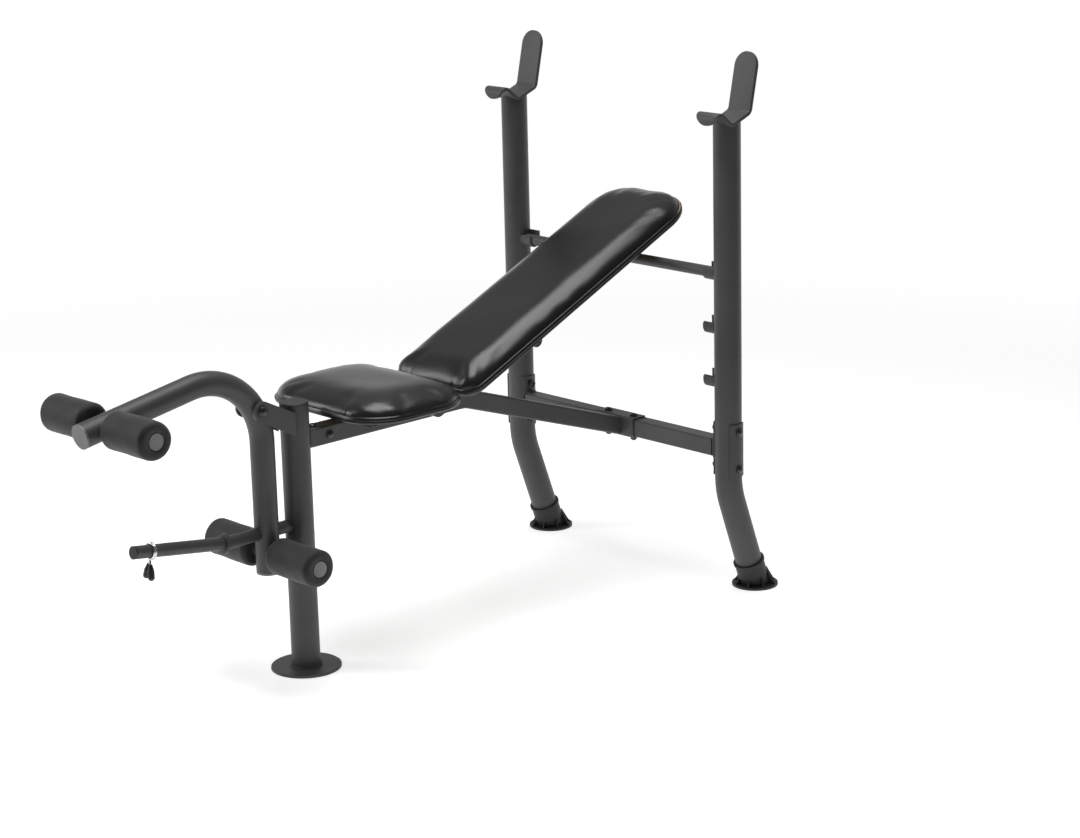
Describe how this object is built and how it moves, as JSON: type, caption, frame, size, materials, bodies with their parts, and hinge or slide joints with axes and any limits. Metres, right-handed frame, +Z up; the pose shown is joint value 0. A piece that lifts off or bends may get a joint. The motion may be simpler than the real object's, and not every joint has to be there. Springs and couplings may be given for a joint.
{
  "type": "adjustable weight bench",
  "caption": "Adjustable weight bench with racked uprights, incline backrest, seat, leg developer with foam rolls and a weight post.",
  "frame": {"origin": "middle of the footprint, on the floor", "axes": "+Y from the leg developer to the uprights, +Z up, +X to the right seen from the front"},
  "size_m": [0.728, 1.5212, 1.143],
  "materials": {
    "powder_coat": "satin, finely textured",
    "black_cap": "matte",
    "black_fastener": "semi-gloss",
    "vinyl": "semi-gloss",
    "board": "matte",
    "foam": "matte",
    "grey_plug": "satin",
    "nylon": "matte",
    "clip_wire": "polished",
    "clip_grip": "satin"
  },
  "bodies": {
    "frame": {"upright_left": "powder_coat", "upright_right": "powder_coat", "cradle_left": "powder_coat", "cradle_right": "powder_coat", "bar_hooks_left": "powder_coat", "bar_hooks_right": "powder_coat", "foot_cap_left": "black_cap", "foot_cap_right": "black_cap", "crossbar": "powder_coat", "inner_saddle_left": "powder_coat", "inner_saddle_right": "powder_coat", "outer_saddle_left": "powder_coat", "outer_saddle_right": "powder_coat", "upright_bolts": "black_fastener", "upright_nuts": "black_fastener", "main_rail": "powder_coat", "rail_clamp": "powder_coat", "rail_clamp_bolts": "black_fastener", "rail_clamp_nuts": "black_fastener", "front_leg": "powder_coat", "front_leg_cap": "black_cap", "front_foot_disc": "powder_coat", "rail_stub": "powder_coat", "rail_stub_bolts": "black_fastener", "lever_pivot_plates": "powder_coat", "pivot_bracket_web": "powder_coat", "lever_pivot_bolt": "black_fastener", "seat_board": "board", "seat_pad": "vinyl", "seat_brackets": "powder_coat", "seat_bolts": "black_fastener", "back_pivot_bolt": "black_fastener"},
    "backrest": {"back_rails": "powder_coat", "back_rail_plugs": "black_cap", "back_board": "board", "back_pad": "vinyl", "back_screws": "black_fastener"},
    "support_bar": {"support_bar": "powder_coat", "support_bar_caps": "black_cap"},
    "leg_lever": {"lever_tube": "powder_coat", "lever_end_plugs": "grey_plug", "lever_bushings": "nylon", "upper_roller_tube": "powder_coat", "lower_roller_tube": "powder_coat", "upper_roller_plugs": "grey_plug", "lower_roller_plugs": "grey_plug", "weight_post": "powder_coat", "post_collar": "powder_coat", "post_end_plug": "black_cap", "stop_bumper": "black_cap"},
    "post_clip": {"clip_spring": "clip_wire", "clip_grips": "clip_grip"},
    "upper_left_roll": {"upper_roll_left": "foam"},
    "upper_right_roll": {"upper_roll_right": "foam"},
    "lower_left_roll": {"lower_roll_left": "foam"},
    "lower_right_roll": {"lower_roll_right": "foam"}
  },
  "joints": [
    {"name": "backrest_tilt", "type": "hinge", "parent": "frame", "child": "backrest", "pos_m": [0, 0.06967, 0.47], "axis": [1, 0, 0], "range_deg": [0, 14]},
    {"name": "support_bar_lift", "type": "slide", "parent": "frame", "child": "support_bar", "axis": [0, 0, 1], "range_m": [0, 0.0275]},
    {"name": "lever_swing", "type": "hinge", "parent": "frame", "child": "leg_lever", "pos_m": [0, -0.36464, 0.5469], "axis": [-1, 0, 0], "range_deg": [0, 90]},
    {"name": "clip_slide", "type": "slide", "parent": "leg_lever", "child": "post_clip", "axis": [0, -0.9888, 0.1495], "range_m": [-0.12, 0.1]},
    {"name": "upper_left_roll_spin", "type": "hinge", "parent": "leg_lever", "child": "upper_left_roll", "pos_m": [0, -0.70232, 0.58187], "axis": [1, 0, 0], "continuous": true},
    {"name": "upper_right_roll_spin", "type": "hinge", "parent": "leg_lever", "child": "upper_right_roll", "pos_m": [0, -0.70232, 0.58187], "axis": [1, 0, 0], "continuous": true},
    {"name": "lower_left_roll_spin", "type": "hinge", "parent": "leg_lever", "child": "lower_left_roll", "pos_m": [0, -0.34734, 0.257], "axis": [1, 0, 0], "continuous": true},
    {"name": "lower_right_roll_spin", "type": "hinge", "parent": "leg_lever", "child": "lower_right_roll", "pos_m": [0, -0.34734, 0.257], "axis": [1, 0, 0], "continuous": true}
  ],
  "couplings": [
    {"joint": "support_bar_lift", "follows": "backrest_tilt", "m_per_rad": 0.1105}
  ]
}
